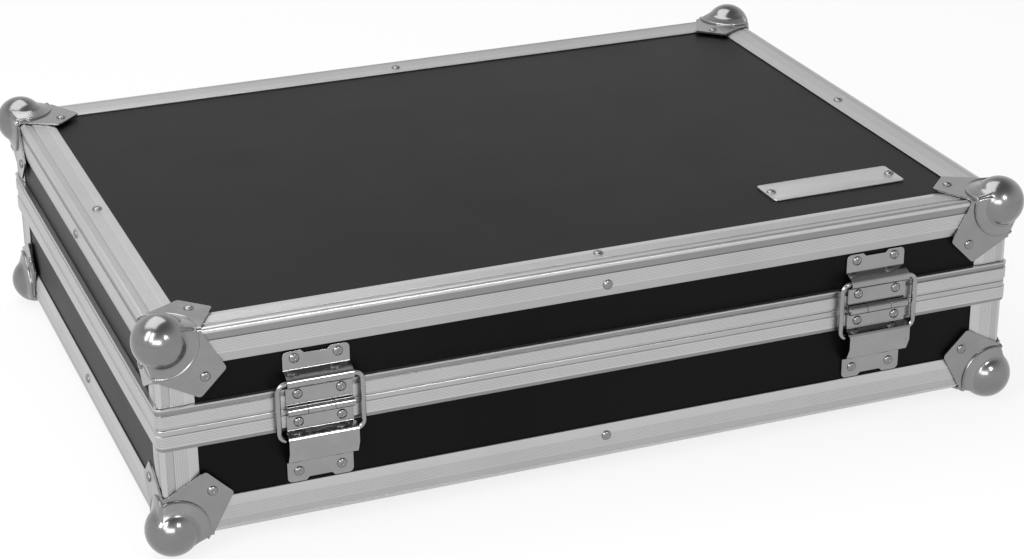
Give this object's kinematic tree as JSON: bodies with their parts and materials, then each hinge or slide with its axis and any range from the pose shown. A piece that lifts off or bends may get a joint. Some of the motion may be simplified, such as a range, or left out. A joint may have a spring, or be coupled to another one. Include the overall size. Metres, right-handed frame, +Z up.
{
  "type": "microphone case",
  "caption": "Flat hard case for handheld microphones: black panels, ribbed aluminium edges, ball corners, stay-ring hinges, butterfly latches, folding handle and pocketed foam.",
  "frame": {"origin": "middle of the footprint on the ground, under the four lower ball corners", "axes": "+X along the long side, +Y from the hinge side towards the latch side, +Z up"},
  "size_m": [0.57, 0.416, 0.1507],
  "materials": {
    "laminate": "fine-grained black laminate on plywood",
    "aluminium": "satin anodised, ribbed along its length",
    "steel": "bright plated, pressed",
    "badge": "fine satin",
    "foam": "open-cell foam"
  },
  "bodies": {
    "base": {"base_bottom_panel": "laminate", "base_hinge_wall": "laminate", "base_latch_wall": "laminate", "base_left_wall": "laminate", "base_right_wall": "laminate", "base_edge_hinge_side": "aluminium", "base_edge_latch_side": "aluminium", "base_edge_left": "aluminium", "base_edge_right": "aluminium", "base_upright_hinge_left": "aluminium", "base_upright_hinge_right": "aluminium", "base_upright_latch_left": "aluminium", "base_upright_latch_right": "aluminium", "base_ball_corner_hinge_left": "steel", "base_ball_corner_hinge_right": "steel", "base_ball_corner_latch_left": "steel", "base_ball_corner_latch_right": "steel", "closure_band_base": "aluminium", "hinge_left_lower_leaf": "steel", "hinge_left_pin": "steel", "hinge_right_lower_leaf": "steel", "hinge_right_pin": "steel", "latch_left_body": "steel", "latch_right_body": "steel", "handle_bracket_left": "steel", "handle_bracket_right": "steel", "foam_insert": "foam"},
    "lid": {"lid_top_panel": "laminate", "lid_hinge_wall": "laminate", "lid_latch_wall": "laminate", "lid_left_wall": "laminate", "lid_right_wall": "laminate", "lid_edge_hinge_side": "aluminium", "lid_edge_latch_side": "aluminium", "lid_edge_left": "aluminium", "lid_edge_right": "aluminium", "lid_upright_hinge_left": "aluminium", "lid_upright_hinge_right": "aluminium", "lid_upright_latch_left": "aluminium", "lid_upright_latch_right": "aluminium", "lid_ball_corner_hinge_left": "steel", "lid_ball_corner_hinge_right": "steel", "lid_ball_corner_latch_left": "steel", "lid_ball_corner_latch_right": "steel", "closure_band_lid": "aluminium", "hinge_left_upper_leaf": "steel", "hinge_right_upper_leaf": "steel", "latch_left_keeper": "steel", "latch_right_keeper": "steel", "badge_plate": "badge", "lid_foam_pad": "foam"},
    "stay_ring_left": {"hinge_left_stay_ring": "steel"},
    "rotor_left": {"latch_left_rotor": "steel"},
    "wing_left": {"latch_left_wing": "steel"},
    "hook_left": {"latch_left_hook": "steel"},
    "stay_ring_right": {"hinge_right_stay_ring": "steel"},
    "rotor_right": {"latch_right_rotor": "steel"},
    "wing_right": {"latch_right_wing": "steel"},
    "hook_right": {"latch_right_hook": "steel"},
    "bail": {"handle_bail": "steel"}
  },
  "joints": [
    {"name": "lid_hinge", "type": "hinge", "parent": "base", "child": "lid", "pos_m": [0, -0.2021, 0.0817], "axis": [1, 0, 0], "range_deg": [0, 95]},
    {"name": "stay_ring_left_swing", "type": "hinge", "parent": "lid", "child": "stay_ring_left", "pos_m": [-0.1805, -0.2021, 0.0999], "axis": [1, 0, 0], "range_deg": [-57, 0]},
    {"name": "rotor_left_turn", "type": "hinge", "parent": "base", "child": "rotor_left", "pos_m": [-0.165, 0.2052, 0.05285], "axis": [0, -1, 0], "range_deg": [0, 180]},
    {"name": "hook_left_slide", "type": "slide", "parent": "base", "child": "hook_left", "axis": [0, -0.1664, -0.9861], "range_m": [0, 0.00811]},
    {"name": "wing_left_fold", "type": "hinge", "parent": "rotor_left", "child": "wing_left", "pos_m": [-0.165, 0.2067, 0.05285], "axis": [1, 0, 0], "range_deg": [0, 90]},
    {"name": "stay_ring_right_swing", "type": "hinge", "parent": "lid", "child": "stay_ring_right", "pos_m": [0.1805, -0.2021, 0.0999], "axis": [1, 0, 0], "range_deg": [-57, 0]},
    {"name": "rotor_right_turn", "type": "hinge", "parent": "base", "child": "rotor_right", "pos_m": [0.165, 0.2052, 0.05285], "axis": [0, -1, 0], "range_deg": [0, 180]},
    {"name": "hook_right_slide", "type": "slide", "parent": "base", "child": "hook_right", "axis": [0, -0.1664, -0.9861], "range_m": [0, 0.00811]},
    {"name": "wing_right_fold", "type": "hinge", "parent": "rotor_right", "child": "wing_right", "pos_m": [0.165, 0.2067, 0.05285], "axis": [1, 0, 0], "range_deg": [0, 90]},
    {"name": "bail_swing", "type": "hinge", "parent": "base", "child": "bail", "pos_m": [0, 0.1986, 0.0608], "axis": [1, 0, 0], "range_deg": [0, 100]}
  ],
  "couplings": [
    {"joint": "stay_ring_left_swing", "follows": "lid_hinge", "ratio": -0.6},
    {"joint": "hook_left_slide", "follows": "rotor_left_turn", "m_per_rad": 0.0025824},
    {"joint": "stay_ring_right_swing", "follows": "lid_hinge", "ratio": -0.6},
    {"joint": "hook_right_slide", "follows": "rotor_right_turn", "m_per_rad": 0.0025824}
  ]
}
